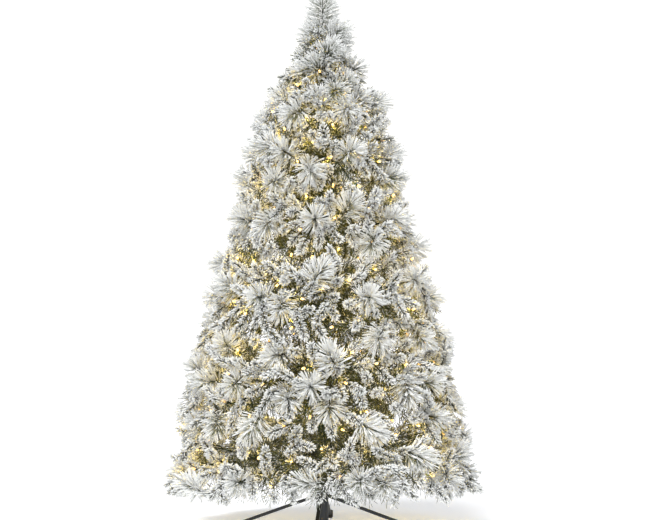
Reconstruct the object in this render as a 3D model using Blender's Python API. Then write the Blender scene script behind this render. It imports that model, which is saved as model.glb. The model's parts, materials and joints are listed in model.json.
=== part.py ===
"""A flocked, hinged artificial Christmas tree on a folding steel stand.

Metres, +Z up. The origin is on the floor under the trunk's axis. The trunk is three steel tubes
that plug together. Each tube carries moulded collars, and every collar holds one tier of branches
on hinge pins. A folding stand of two crossed leg pairs clamps the trunk with three eye bolts.
"""

import math
from collections import namedtuple

import bmesh
import bpy
from mathutils import Matrix, Vector

# Clearances
TOUCH_GAP = 0.0003  # between pieces that touch
SLIDE_GAP = 0.0005  # all round a tube that slides in another

# Trunk
POLE_RADIUS = 0.016
POLE_WALL = 0.002
POLE_LENGTHS = (0.58, 0.46, 0.37)  # lower, middle and upper tube, shoulder to shoulder
SPIGOT_LENGTH = 0.07  # reduced end that plugs into the tube below
SPIGOT_WALL = 0.0016
ROUND_SIDES = 24

# Stand
SOCKET_WALL = 0.003
SOCKET_FLOOR = 0.014  # underside of the socket's closed end above the floor
SOCKET_FLOOR_THICKNESS = 0.004
LOWER_SOCKET_TOP = 0.124
UPPER_SOCKET_LENGTH = 0.066
LEG_WIDTH = 0.012
LEG_HEIGHT = 0.010
LEG_REACH = 0.30  # trunk axis to the middle of a foot
LEG_DROP = 0.010  # leg centre line at the socket, below or above the line where the sockets meet
LEG_END_HEIGHT = 0.012  # leg centre line above the floor at the foot
LEG_END_PAST_FOOT = 0.006
LEG_ROUNDING = 0.0015
SOCKET_DRAIN = 0.0055  # radius of the hole in the socket's closed end
FOOT_LENGTH = 0.026
FOOT_WIDTH = 0.019
FOOT_HEIGHT = 0.027
FOOT_ROUNDING = 0.003

# Eye bolts
BOLT_COUNT = 3
BOLT_RADIUS = 0.003
BOLT_BELOW_RIM = 0.020
BOLT_SHANK_PAST_BOSS = 0.012
BOLT_POINT_RADIUS = 0.0021
BOLT_POINT_LENGTH = 0.0014
BOLT_EYE_RADIUS = 0.009
BOLT_EYE_ROD = 0.0024
BOSS_RADIUS = 0.0065
BOSS_LENGTH = 0.007
THREAD_GAP = 0.0004

# Collars and hinge pins
COLLAR_WALL = 0.0025  # between the trunk's bore and the slots
COLLAR_LIP = 0.008  # hinge pin to a flat side
COLLAR_BELOW = 0.009  # collar underside below the hinge pins
COLLAR_ABOVE = 0.006
PIN_RADIUS = 0.0015
PIN_LENGTH = 0.0125
PIN_GAP = 0.0003
PIN_SIDES = 6
WIRE_RADIUS = 0.0021  # bare wire of a branch at its hinge
WIRE_SIDE_GAP = 0.0004
WIRE_HEEL = 0.0015  # wire behind the pin
SLOT_BACK = 0.0052  # slot's inner wall behind the pin
HEEL_GAP = 0.0008  # under the wire's heel as it turns

# Light string's leads along the trunk
LEAD_RADIUS = 0.0012
LEAD_BEARING = 15  # between the slots of every tier
LEAD_PLUG_RADIUS = 0.0035
LEAD_PLUG_LENGTH = 0.016
LEAD_TAPER = 0.006  # from a plug down to the cable
LEAD_ABOVE_STAND = 0.010
LEAD_BELOW_TOP = 0.020
LEAD_SIDES = 10

# Branches
BARE_WIRE = 0.034  # hinge pin to the first needles
STEM_CORE = 0.008  # radius of the wrapped stem
TWIG_CORE = 0.015  # widest radius of a twig's packed needles
TWIG_ROOT = 0.005
TWIG_LENGTH = 0.135
TWIG_WIDEST = 0.4  # share of a twig's length where it is thickest
TWIG_RUN = 0.9  # share of a twig's length that runs along the stem
TWIG_PITCH = 0.1
FIRST_TWIG = 0.085
SHORTEST_TWIG = 0.6  # share of a twig's length that still makes a twig at the stem's end
TWIG_SPREAD = math.radians(35)
TWIG_SIDES = 5
STEM_SIDES = 6
STEM_NECK = 0.012  # bare wire to the full wrapped thickness
SHORTEST_STEM = 0.02
FOLD_SLOPE = math.radians(70)  # slope of a branch folded for storage
FOLD_SIDE_GAP = 0.004  # between folded neighbours
FOLD_LAYER_GAP = 0.010  # between folded tiers
UPRIGHT_TWIG_RISE = math.radians(20)
TWIG_SIDE_GAP = 0.002  # between a twig and the edge of its folded branch's wedge
NEAR_TIP = 0.85  # share of a twig's length where its tip still has to fit

# Top
PLUG_RIM = 0.006
PLUG_DEPTH = 0.030
LEADER_WIRE = 0.0045
LEADER_SOCKETED = 0.026
LEADER_LENGTH = 0.368  # upper tube's head to the tip
LEADER_CORE = 0.017
LEADER_NECK = 0.008  # radius where the needles begin
LEADER_BARE = 0.010  # bare wire above the plug
LEADER_NECK_LENGTH = 0.016
LEADER_WIDEST = 0.75  # share of the length where the core is thickest
Whorl = namedtuple("Whorl", "height count bearing spread rise")
LEADER_WHORLS = (Whorl(0.075, 5, 0, 0.072, 0.115), Whorl(0.175, 4, 45, 0.055, 0.115))
FOOT_PLUG_RIM = 0.003
FOOT_PLUG_DEPTH = 0.018
FOOT_PLUG_BORE = 0.0068

# One tier of branches: the tube it is on, the hinge height from the tube's foot (or from its head
# where negative), the number of branches, the first one's bearing, the slope at rest, the reach.
Tier = namedtuple("Tier", "pole offset count bearing slope reach")
TIERS = (
    Tier(0, 0.24, 6, 0, -8, 0.500),
    Tier(0, -0.10, 6, 30, 0, 0.455),
    Tier(1, 0.14, 6, 0, 6, 0.390),
    Tier(1, -0.09, 6, 30, 12, 0.320),
    Tier(2, 0.12, 6, 0, 18, 0.255),
    Tier(2, -0.07, 6, 30, 26, 0.175),
)

LEAD_PLASTIC = ("lead_plastic", (0.020, 0.055, 0.028), 0.45, 0.0)
STEEL = ("stand_steel", (0.055, 0.060, 0.068), 0.45, 0.7)
RUBBER = ("foot_rubber", (0.025, 0.025, 0.027), 0.85, 0.0)
GREEN_STEEL = ("trunk_steel", (0.035, 0.075, 0.045), 0.5, 0.5)
GREEN_PLASTIC = ("collar_plastic", (0.030, 0.060, 0.036), 0.55, 0.0)
ZINC = ("bolt_zinc", (0.45, 0.46, 0.48), 0.35, 1.0)
FOLIAGE = ("flocked_needles", (0.52, 0.58, 0.53), 0.95, 0.0)


def remove_startup_objects():
    for old in list(bpy.data.objects):
        bpy.data.objects.remove(old, do_unlink=True)


def material(spec):
    """The Principled BSDF of a (name, colour, roughness, metallic) tuple."""
    name, colour, roughness, metallic = spec
    made = bpy.data.materials.get(name)
    if made is None:
        made = bpy.data.materials.new(name)
        made.use_nodes = True
        shader = made.node_tree.nodes["Principled BSDF"]
        shader.inputs["Base Color"].default_value = (*colour, 1)
        shader.inputs["Roughness"].default_value = roughness
        shader.inputs["Metallic"].default_value = metallic
    return made


# Mesh tools


def mesh_of(bm, name):
    bmesh.ops.recalc_face_normals(bm, faces=bm.faces)
    mesh = bpy.data.meshes.new(name)
    bm.to_mesh(mesh)
    bm.free()
    return mesh


def add_object(name, mesh, look, matrix=None):
    obj = bpy.data.objects.new(name, mesh)
    bpy.context.scene.collection.objects.link(obj)
    obj.matrix_world = matrix or Matrix.Identity(4)
    if not mesh.materials:
        mesh.materials.append(material(look))
    mesh.shade_smooth()
    mesh.set_sharp_from_angle(angle=math.radians(35))
    return obj


def add_helper(name, mesh, matrix=None):
    """An object that only takes part in Booleans."""
    obj = bpy.data.objects.new(name, mesh)
    bpy.context.scene.collection.objects.link(obj)
    obj.matrix_world = matrix or Matrix.Identity(4)
    obj.hide_render = True
    obj.display_type = "WIRE"
    return obj


def boolean(obj, operation, other, within_itself=False):
    modifier = obj.modifiers.new(operation.lower() + "_" + other.name, "BOOLEAN")
    modifier.operation = operation
    modifier.object = other
    modifier.use_self = within_itself


def evaluated_mesh(obj, name):
    """The mesh that an object's modifiers give, in the object's own frame."""
    graph = bpy.context.evaluated_depsgraph_get()
    mesh = bpy.data.meshes.new_from_object(obj.evaluated_get(graph))
    mesh.name = name
    return mesh


def frame_along(start, end):
    """A matrix at start whose Z runs towards end, with X kept level."""
    along = (end - start).normalized()
    level = Vector((-along.y, along.x, 0))
    if level.length < 1e-6:
        level = Vector((1, 0, 0))
    level.normalize()
    third = along.cross(level)
    turn = Matrix((level, third, along)).transposed().to_4x4()
    return Matrix.Translation(start) @ turn


def add_rod(bm, start, end, radii, sides):
    """A closed round rod. radii holds (share of the length, radius) pairs; 0 makes a point."""
    place = frame_along(start, end)
    length = (end - start).length
    rings = []
    for share, radius in radii:
        centre = Vector((0, 0, share * length))
        if radius == 0:
            rings.append([bm.verts.new(place @ centre)])
            continue
        ring = []
        for i in range(sides):
            angle = math.tau * i / sides
            corner = centre + Vector((radius * math.cos(angle), radius * math.sin(angle), 0))
            ring.append(bm.verts.new(place @ corner))
        rings.append(ring)
    for low, high in zip(rings, rings[1:]):
        for i in range(sides):
            j = (i + 1) % sides
            corners = [low[i % len(low)], low[j % len(low)], high[j % len(high)], high[i % len(high)]]
            bm.faces.new(list(dict.fromkeys(corners)))
    for ring in (rings[0], rings[-1]):
        if len(ring) > 2:
            bm.faces.new(ring)


def rod_mesh(name, start, end, radii, sides):
    bm = bmesh.new()
    add_rod(bm, Vector(start), Vector(end), radii, sides)
    return mesh_of(bm, name)


def turned_mesh(name, profile, sides=ROUND_SIDES):
    """A closed ring turned about Z from a closed (radius, height) outline."""
    bm = bmesh.new()
    corners = [bm.verts.new((radius, 0, height)) for radius, height in profile]
    edges = [bm.edges.new((a, b)) for a, b in zip(corners, corners[1:] + corners[:1])]
    bmesh.ops.spin(
        bm, geom=corners + edges, axis=(0, 0, 1), cent=(0, 0, 0), angle=math.tau, steps=sides, use_merge=True
    )
    return mesh_of(bm, name)


def box_mesh(name, low, high, rounding=0):
    bm = bmesh.new()
    low, high = Vector(low), Vector(high)
    place = Matrix.Translation((low + high) / 2) @ Matrix.Diagonal((*(high - low), 1))
    bmesh.ops.create_cube(bm, size=1, matrix=place)
    if rounding:
        bmesh.ops.bevel(bm, geom=bm.edges[:], offset=rounding, segments=1, affect="EDGES")
    return mesh_of(bm, name)


def bearing(degrees):
    return Matrix.Rotation(math.radians(degrees), 4, "Z")


# Trunk


def socket_floor_top():
    return SOCKET_FLOOR + SOCKET_FLOOR_THICKNESS


def pole_foot(index):
    """Height of a tube's lower shoulder. The lowest tube stands on its plug in the socket."""
    return socket_floor_top() + TOUCH_GAP * (index + 2) + FOOT_PLUG_RIM + sum(POLE_LENGTHS[:index])


def pole_head(index):
    return pole_foot(index) + POLE_LENGTHS[index]


def make_poles():
    bore = POLE_RADIUS - POLE_WALL
    spigot = bore - SLIDE_GAP
    for index, name in enumerate(("lower_pole", "middle_pole", "upper_pole")):
        foot, head = pole_foot(index), pole_head(index)
        profile = [(POLE_RADIUS, head), (POLE_RADIUS, foot)]
        if index:
            profile += [
                (spigot, foot),
                (spigot, foot - SPIGOT_LENGTH),
                (spigot - SPIGOT_WALL, foot - SPIGOT_LENGTH),
                (spigot - SPIGOT_WALL, foot),
                (bore, foot + POLE_WALL),
            ]
        else:
            profile.append((bore, foot))
        profile.append((bore, head))
        add_object(name, turned_mesh(name, profile), GREEN_STEEL)


def make_foot_plug():
    """The plastic plug that closes the trunk's lower end."""
    foot = pole_foot(0)
    inside = POLE_RADIUS - POLE_WALL - TOUCH_GAP
    name = "trunk_foot_plug"
    profile = [
        (POLE_RADIUS, foot - TOUCH_GAP),
        (POLE_RADIUS, foot - TOUCH_GAP - FOOT_PLUG_RIM),
        (FOOT_PLUG_BORE, foot - TOUCH_GAP - FOOT_PLUG_RIM),
        (FOOT_PLUG_BORE, foot + FOOT_PLUG_DEPTH),
        (inside, foot + FOOT_PLUG_DEPTH),
        (inside, foot - TOUCH_GAP),
    ]
    add_object(name, turned_mesh(name, profile), GREEN_PLASTIC)


def make_top_plug():
    """The plug in the upper tube that grips the leader's wire."""
    head = pole_head(2)
    inside = POLE_RADIUS - POLE_WALL - TOUCH_GAP
    hole = LEADER_WIRE + TOUCH_GAP
    name = "top_plug"
    profile = [
        (POLE_RADIUS, head + TOUCH_GAP + PLUG_RIM),
        (POLE_RADIUS, head + TOUCH_GAP),
        (inside, head + TOUCH_GAP),
        (inside, head - PLUG_DEPTH),
        (hole, head - PLUG_DEPTH),
        (hole, head + TOUCH_GAP + PLUG_RIM),
    ]
    add_object(name, turned_mesh(name, profile), GREEN_PLASTIC)


# Stand


def leg_line(side):
    """Start and end of a leg's centre line in the XZ plane; side is -1 on the lower pair, 1 on the upper."""
    start = POLE_RADIUS + SLIDE_GAP + SOCKET_WALL / 2
    end = LEG_REACH + LEG_END_PAST_FOOT
    top = LOWER_SOCKET_TOP + side * LEG_DROP
    fall = (top - LEG_END_HEIGHT) / (LEG_REACH - start)
    return Vector((start, 0, top)), Vector((end, 0, top - fall * (end - start)))


def leg_mesh(name, side, grow=0.0):
    """One leg bar from the socket's wall to its end inside the foot; grow thickens a copy for a pocket."""
    start, end = leg_line(side)
    width, height = LEG_WIDTH / 2 + grow, LEG_HEIGHT / 2 + grow
    length = (end - start).length + grow
    mesh = box_mesh(name, (-width, -height, 0), (width, height, length), LEG_ROUNDING)
    mesh.transform(frame_along(start, end))
    return mesh


def socket_mesh(name, low, high, closed):
    outer = POLE_RADIUS + SLIDE_GAP + SOCKET_WALL
    inner = POLE_RADIUS + SLIDE_GAP
    if not closed:
        return turned_mesh(name, [(outer, high), (outer, low), (inner, low), (inner, high)])
    floor = low + SOCKET_FLOOR_THICKNESS
    drain = [(SOCKET_DRAIN, low), (SOCKET_DRAIN, floor)]
    return turned_mesh(name, [(outer, high), (outer, low), *drain, (inner, floor), (inner, high)])


def bolt_bearings():
    return [360 / BOLT_COUNT * i for i in range(BOLT_COUNT)]


def upper_socket_bottom():
    return LOWER_SOCKET_TOP + TOUCH_GAP


def bolt_height():
    return upper_socket_bottom() + UPPER_SOCKET_LENGTH - BOLT_BELOW_RIM


def make_leg_pair(name, side, turn):
    """A socket tube with two legs welded to it, 180 degrees apart."""
    lower = side < 0
    low = SOCKET_FLOOR if lower else upper_socket_bottom()
    high = LOWER_SOCKET_TOP if lower else low + UPPER_SOCKET_LENGTH
    pair = add_object(name, socket_mesh(name, low, high, lower), STEEL)
    for i, half in enumerate((turn, turn + 180)):
        leg = add_helper(f"{name}_leg_{i}", leg_mesh(f"{name}_leg_{i}", side), bearing(half))
        boolean(pair, "UNION", leg)
    if lower:
        return
    outer = POLE_RADIUS + SLIDE_GAP + SOCKET_WALL
    height = bolt_height()
    for i, degrees in enumerate(bolt_bearings()):
        start = (outer - SOCKET_WALL / 2, 0, height)
        end = (outer + BOSS_LENGTH, 0, height)
        boss_mesh = rod_mesh("bolt_boss", start, end, [(0, BOSS_RADIUS), (1, BOSS_RADIUS)], 12)
        boolean(pair, "UNION", add_helper(f"boss_{i}", boss_mesh, bearing(degrees)))
    hole = BOLT_RADIUS + THREAD_GAP
    for i, degrees in enumerate(bolt_bearings()):
        start = (outer - 2 * SOCKET_WALL, 0, height)
        end = (outer + 2 * BOSS_LENGTH, 0, height)
        hole_mesh = rod_mesh("bolt_hole", start, end, [(0, hole), (1, hole)], 12)
        boolean(pair, "DIFFERENCE", add_helper(f"bolt_hole_{i}", hole_mesh, bearing(degrees)))


def make_feet():
    number = 1
    for side, turn in ((-1, 0), (1, 90), (-1, 180), (1, 270)):
        name = f"foot_{number}"
        low = (LEG_REACH - FOOT_LENGTH / 2, -FOOT_WIDTH / 2, 0)
        high = (LEG_REACH + FOOT_LENGTH / 2, FOOT_WIDTH / 2, FOOT_HEIGHT)
        foot = add_object(name, box_mesh(name, low, high, FOOT_ROUNDING), RUBBER, bearing(turn))
        pocket = leg_mesh(f"pocket_{number}", side, TOUCH_GAP)
        boolean(foot, "DIFFERENCE", add_helper(f"pocket_{number}", pocket, bearing(turn)))
        number += 1


def make_bolts():
    """Eye bolts that screw through the upper socket and press on the trunk."""
    boss_end = POLE_RADIUS + SLIDE_GAP + SOCKET_WALL + BOSS_LENGTH
    tip = POLE_RADIUS + TOUCH_GAP
    head = boss_end + BOLT_SHANK_PAST_BOSS
    height = bolt_height()
    end = head + BOLT_EYE_ROD / 2
    point = BOLT_POINT_LENGTH / (end - tip)
    shank = [(0, BOLT_POINT_RADIUS), (point, BOLT_RADIUS), (1, BOLT_RADIUS)]
    bm = bmesh.new()
    ring = []
    for i in range(6):
        angle = math.tau * i / 6
        radius = BOLT_EYE_RADIUS + BOLT_EYE_ROD * math.cos(angle)
        ring.append(bm.verts.new((radius, 0, BOLT_EYE_ROD * math.sin(angle))))
    edges = [bm.edges.new((a, b)) for a, b in zip(ring, ring[1:] + ring[:1])]
    bmesh.ops.spin(
        bm, geom=ring + edges, axis=(0, 0, 1), cent=(0, 0, 0), angle=math.tau, steps=14, use_merge=True
    )
    eye_mesh = mesh_of(bm, "bolt_eye")
    upright = Matrix.Rotation(math.pi / 2, 4, "X")
    eye_mesh.transform(Matrix.Translation((head + BOLT_EYE_RADIUS, 0, height)) @ upright)
    for i, degrees in enumerate(bolt_bearings()):
        name = f"eye_bolt_{i + 1}"
        mesh = rod_mesh(name, (tip, 0, height), (end, 0, height), shank, 10)
        bolt = add_object(name, mesh, ZINC, bearing(degrees))
        boolean(bolt, "UNION", add_helper(f"{name}_eye", eye_mesh, bearing(degrees)))


# Tiers


def hinge_radius():
    """Trunk axis to a hinge pin."""
    return POLE_RADIUS + TOUCH_GAP + COLLAR_WALL + SLOT_BACK


def slot_floor():
    """Slot's floor under the pin, clear of the wire's heel."""
    return math.hypot(WIRE_HEEL, WIRE_RADIUS) + HEEL_GAP


def hinge_height(tier):
    if tier.offset > 0:
        return pole_foot(tier.pole) + tier.offset
    return pole_head(tier.pole) + tier.offset


def stem_length(tier):
    """Hinge pin to the end of the stem, along the stem."""
    return (tier.reach - hinge_radius()) / math.cos(math.radians(tier.slope))


def slot_mesh(tier):
    """The space that one branch's wire turns in, as an upright slot with a sloping rest."""
    slope = math.radians(tier.slope)
    rest = (WIRE_RADIUS + TOUCH_GAP) / math.cos(slope)
    far = 2 * COLLAR_LIP
    near = WIRE_RADIUS + WIRE_HEEL / 2
    floor = slot_floor()
    outline = [
        (-SLOT_BACK, -floor),
        (near / 2, -floor),
        (near, min(near * math.tan(slope) - rest, -floor / 2)),
        (far, far * math.tan(slope) - rest),
        (far, 3 * COLLAR_ABOVE),
        (-SLOT_BACK, 3 * COLLAR_ABOVE),
    ]
    half = WIRE_RADIUS + WIRE_SIDE_GAP
    bm = bmesh.new()
    face = bm.faces.new([bm.verts.new((x, -half, z)) for x, z in outline])
    wall = bmesh.ops.extrude_face_region(bm, geom=[face])
    moved = [item for item in wall["geom"] if isinstance(item, bmesh.types.BMVert)]
    bmesh.ops.translate(bm, verts=moved, vec=(0, 2 * half, 0))
    return mesh_of(bm, "slot")


def make_collar(number, tier):
    """A six-sided moulding round the trunk with a slot and a pin hole for every branch."""
    height = hinge_height(tier)
    bore = POLE_RADIUS + TOUCH_GAP
    corner = (hinge_radius() + COLLAR_LIP) / math.cos(math.pi / tier.count)
    name = f"collar_{number}"
    bm = bmesh.new()
    depth = COLLAR_BELOW + COLLAR_ABOVE
    bmesh.ops.create_cone(
        bm, cap_ends=True, segments=tier.count, radius1=corner, radius2=corner, depth=depth
    )
    middle = (COLLAR_ABOVE - COLLAR_BELOW) / 2
    half_side = math.pi / 2 - math.pi / tier.count
    bm.transform(Matrix.Translation((0, 0, middle)) @ Matrix.Rotation(half_side, 4, "Z"))
    place = Matrix.Translation((0, 0, height))
    collar = add_object(name, mesh_of(bm, name), GREEN_PLASTIC, place @ bearing(tier.bearing))
    bore_mesh = rod_mesh("collar_bore", (0, 0, -depth), (0, 0, depth), [(0, bore), (1, bore)], ROUND_SIDES)
    boolean(collar, "DIFFERENCE", add_helper(f"{name}_bore", bore_mesh, collar.matrix_world))
    passage = LEAD_RADIUS + TOUCH_GAP
    ends = [(0, passage), (1, passage)]
    passage_mesh = rod_mesh("passage", (lead_line(), 0, -depth), (lead_line(), 0, depth), ends, LEAD_SIDES)
    boolean(collar, "DIFFERENCE", add_helper(f"{name}_passage", passage_mesh, place @ bearing(LEAD_BEARING)))
    cutter = slot_mesh(tier)
    reach = PIN_LENGTH / 2 + PIN_GAP
    hole = PIN_RADIUS + PIN_GAP
    pin_mesh = rod_mesh("pin_hole", (0, -reach, 0), (0, reach, 0), [(0, hole), (1, hole)], PIN_SIDES)
    for i in range(tier.count):
        place = collar.matrix_world @ bearing(360 / tier.count * i) @ Matrix.Translation((hinge_radius(), 0, 0))
        boolean(collar, "DIFFERENCE", add_helper(f"{name}_slot_{i}", cutter, place))
        boolean(collar, "DIFFERENCE", add_helper(f"{name}_pin_{i}", pin_mesh, place))


def half_width(tier, along):
    """How far a branch may spread sideways so that folded neighbours clear each other."""
    radius = hinge_radius() + along * math.cos(FOLD_SLOPE)
    return radius * math.tan(math.pi / tier.count) - FOLD_SIDE_GAP / 2


def half_thickness(number):
    """How far a branch may stand off its stem's plane so that folded tiers clear each other."""
    heights = [hinge_height(tier) for tier in TIERS]
    steps = [abs(height - heights[number]) for i, height in enumerate(heights) if abs(i - number) == 1]
    return (min(steps) * math.cos(FOLD_SLOPE) - FOLD_LAYER_GAP) / 2


def twig_radii():
    return [(0, TWIG_ROOT), (TWIG_WIDEST, TWIG_CORE), (1, 0)]


def branch_mesh(number, tier):
    """Stem, hinge pin and twigs as one body: X along the stem, Y along the hinge pin."""
    length = stem_length(tier)
    tip = max(length - TWIG_LENGTH, BARE_WIRE + SHORTEST_STEM)
    neck = BARE_WIRE + STEM_NECK
    marks = [(0, WIRE_RADIUS), (BARE_WIRE, WIRE_RADIUS), (neck, STEM_CORE), (tip, STEM_CORE)]
    marks += [(tip + (length - tip) * TWIG_WIDEST, TWIG_CORE), (length, 0)]
    whole = length + WIRE_HEEL
    radii = [(0, WIRE_RADIUS)] + [((mark + WIRE_HEEL) / whole, radius) for mark, radius in marks[1:]]
    name = f"branch_{number + 1}"
    stem = add_helper(f"{name}_stem", rod_mesh(name, (-WIRE_HEEL, 0, 0), (length, 0, 0), radii, STEM_SIDES))
    ends = [(0, PIN_RADIUS), (1, PIN_RADIUS)]
    pin_mesh = rod_mesh("pin", (0, -PIN_LENGTH / 2, 0), (0, PIN_LENGTH / 2, 0), ends, PIN_SIDES)
    boolean(stem, "UNION", add_helper(f"{name}_pin", pin_mesh))

    bm = bmesh.new()
    along = FIRST_TWIG
    index = 0
    while along < length - SHORTEST_TWIG * TWIG_LENGTH:
        root = Vector((along, 0, 0))
        run = min(TWIG_RUN * TWIG_LENGTH, length - along)
        tips = half_width(tier, along + NEAR_TIP * run) - TWIG_SIDE_GAP
        middles = half_width(tier, along + TWIG_WIDEST * run) - TWIG_CORE - TWIG_SIDE_GAP
        sideways = min(tips, middles / TWIG_WIDEST, run * math.tan(TWIG_SPREAD))
        for side in (-1, 1):
            add_rod(bm, root, Vector((along + run, side * sideways, 0)), twig_radii(), TWIG_SIDES)
        rise = min(run * math.sin(UPRIGHT_TWIG_RISE), half_thickness(number))
        up = 1 if index % 2 else -1
        start = along + TWIG_PITCH / 2
        end = min(start + TWIG_RUN * run, length)
        add_rod(bm, Vector((start, 0, 0)), Vector((end, 0, up * rise)), twig_radii(), TWIG_SIDES)
        along += TWIG_PITCH
        index += 1
    twigs = add_helper(f"{name}_twigs", mesh_of(bm, f"{name}_twigs"))
    boolean(stem, "UNION", twigs, within_itself=True)
    bpy.context.view_layer.update()
    return evaluated_mesh(stem, name)


def make_branches(number, tier):
    mesh = branch_mesh(number, tier)
    height = hinge_height(tier)
    lean = Matrix.Rotation(math.radians(-tier.slope), 4, "Y")
    for i in range(tier.count):
        turn = bearing(tier.bearing + 360 / tier.count * i)
        place = turn @ Matrix.Translation((hinge_radius(), 0, height)) @ lean
        add_object(f"branch_{number + 1}_{i + 1}", mesh, FOLIAGE, place)


def lead_line():
    """Trunk axis to a light lead's centre line; its plugs rest on the trunk."""
    return POLE_RADIUS + TOUCH_GAP + LEAD_PLUG_RADIUS


def make_light_leads():
    """The lights' cable in three lengths, one per trunk tube, with a plug at each end."""
    names = ("lower_light_lead", "middle_light_lead", "upper_light_lead")
    stand_top = upper_socket_bottom() + UPPER_SOCKET_LENGTH
    lows = (stand_top + LEAD_ABOVE_STAND, pole_foot(1), pole_foot(2))
    highs = (pole_head(0), pole_head(1), pole_head(2) - LEAD_BELOW_TOP)
    for name, low, high in zip(names, lows, highs):
        plug = LEAD_PLUG_LENGTH / (high - low)
        cable = (LEAD_PLUG_LENGTH + LEAD_TAPER) / (high - low)
        radii = [(0, LEAD_PLUG_RADIUS), (plug, LEAD_PLUG_RADIUS), (cable, LEAD_RADIUS)]
        radii += [(1 - share, radius) for share, radius in reversed(radii)]
        mesh = rod_mesh(name, (lead_line(), 0, low), (lead_line(), 0, high), radii, LEAD_SIDES)
        add_object(name, mesh, LEAD_PLASTIC, bearing(LEAD_BEARING))


def make_leader():
    """The upright tip above the top tier, with two whorls of fixed twigs."""
    head = pole_head(2)
    foot = head - LEADER_SOCKETED
    top = head + LEADER_LENGTH
    whole = top - foot
    bare = (LEADER_SOCKETED + PLUG_RIM + LEADER_BARE) / whole
    neck = bare + LEADER_NECK_LENGTH / whole
    radii = [(0, LEADER_WIRE), (bare, LEADER_WIRE), (neck, LEADER_NECK)]
    radii += [(LEADER_WIDEST, LEADER_CORE), (1, 0)]
    name = "leader"
    stem = add_helper("leader_stem", rod_mesh(name, (0, 0, foot), (0, 0, top), radii, 8))
    bm = bmesh.new()
    for whorl in LEADER_WHORLS:
        for i in range(whorl.count):
            turn = bearing(whorl.bearing + 360 / whorl.count * i)
            start = Vector((0, 0, head + whorl.height))
            end = turn @ Vector((whorl.spread, 0, head + whorl.height + whorl.rise))
            add_rod(bm, start, end, twig_radii(), TWIG_SIDES)
    boolean(stem, "UNION", add_helper("leader_twigs", mesh_of(bm, "leader_twigs")), within_itself=True)
    bpy.context.view_layer.update()
    add_object(name, evaluated_mesh(stem, name), FOLIAGE)


remove_startup_objects()
make_poles()
make_foot_plug()
make_top_plug()
make_leg_pair("stand_lower_legs", -1, 0)
make_leg_pair("stand_upper_legs", 1, 90)
make_feet()
make_bolts()
for index, tier in enumerate(TIERS):
    make_collar(index + 1, tier)
    make_branches(index, tier)
make_light_leads()
make_leader()
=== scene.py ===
"""The looks of a flocked, pre-lit hinged tree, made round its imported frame.

Metres, +Z up, in the frame's own axes. Each branch of the frame, and the leader at the top, is
replaced by the wires, needles, long-needle bursts and lights that grow on it. The stand, the trunk
and their fittings keep their solids.

Twig ends are scattered over the tree's surface and over shells inside it. Each twig end goes to the
branch whose part of the tree it is in. Then each branch grows wires to its twig ends, and is clothed
with needles and lights.
"""

import json
import math
from collections import namedtuple

import bpy
import numpy as np
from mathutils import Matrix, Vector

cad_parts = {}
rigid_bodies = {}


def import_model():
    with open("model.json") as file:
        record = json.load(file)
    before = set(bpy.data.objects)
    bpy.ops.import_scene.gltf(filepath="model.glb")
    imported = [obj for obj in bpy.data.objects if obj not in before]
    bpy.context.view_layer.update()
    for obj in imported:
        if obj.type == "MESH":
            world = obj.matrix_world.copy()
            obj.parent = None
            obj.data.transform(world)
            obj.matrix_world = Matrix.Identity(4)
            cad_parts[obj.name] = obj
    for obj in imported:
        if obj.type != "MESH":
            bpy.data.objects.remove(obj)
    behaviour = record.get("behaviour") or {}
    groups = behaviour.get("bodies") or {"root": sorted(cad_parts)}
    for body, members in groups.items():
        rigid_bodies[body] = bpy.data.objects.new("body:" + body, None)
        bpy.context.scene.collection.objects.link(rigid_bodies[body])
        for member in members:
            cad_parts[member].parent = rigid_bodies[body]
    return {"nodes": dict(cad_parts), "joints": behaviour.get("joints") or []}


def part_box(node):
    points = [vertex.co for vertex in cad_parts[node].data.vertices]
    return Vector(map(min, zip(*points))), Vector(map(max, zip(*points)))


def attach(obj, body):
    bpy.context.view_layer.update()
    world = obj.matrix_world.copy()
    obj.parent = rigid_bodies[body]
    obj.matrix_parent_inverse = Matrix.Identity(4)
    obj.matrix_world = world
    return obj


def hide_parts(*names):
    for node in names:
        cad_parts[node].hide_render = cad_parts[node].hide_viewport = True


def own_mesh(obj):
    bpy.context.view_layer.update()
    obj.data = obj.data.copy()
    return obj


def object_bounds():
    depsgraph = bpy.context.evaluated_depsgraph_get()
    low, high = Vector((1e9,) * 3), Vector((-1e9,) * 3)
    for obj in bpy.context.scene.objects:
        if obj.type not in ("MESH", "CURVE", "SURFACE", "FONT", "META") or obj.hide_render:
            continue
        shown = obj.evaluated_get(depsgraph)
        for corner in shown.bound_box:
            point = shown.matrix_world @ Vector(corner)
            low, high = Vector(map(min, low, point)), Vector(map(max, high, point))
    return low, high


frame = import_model()
cad_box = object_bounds()

GOLDEN_ANGLE = math.pi * (3 - math.sqrt(5))
THIRDS = (0, math.tau / 3, 2 * math.tau / 3)
UP = np.array([0.0, 0.0, 1.0])
NO_LENGTH = 1e-9  # keeps a direction from having none
PIECE_MAP = "OFBake"  # the map that every piece carries
CAP_MAP = ((0.02, 0.02), (0.06, 0.02), (0.04, 0.06))  # where the triangles of an end cap lie on it

# Folding
FOLDED_SLOPE = math.radians(70)  # slope of a branch at its fold's far limit

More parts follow.
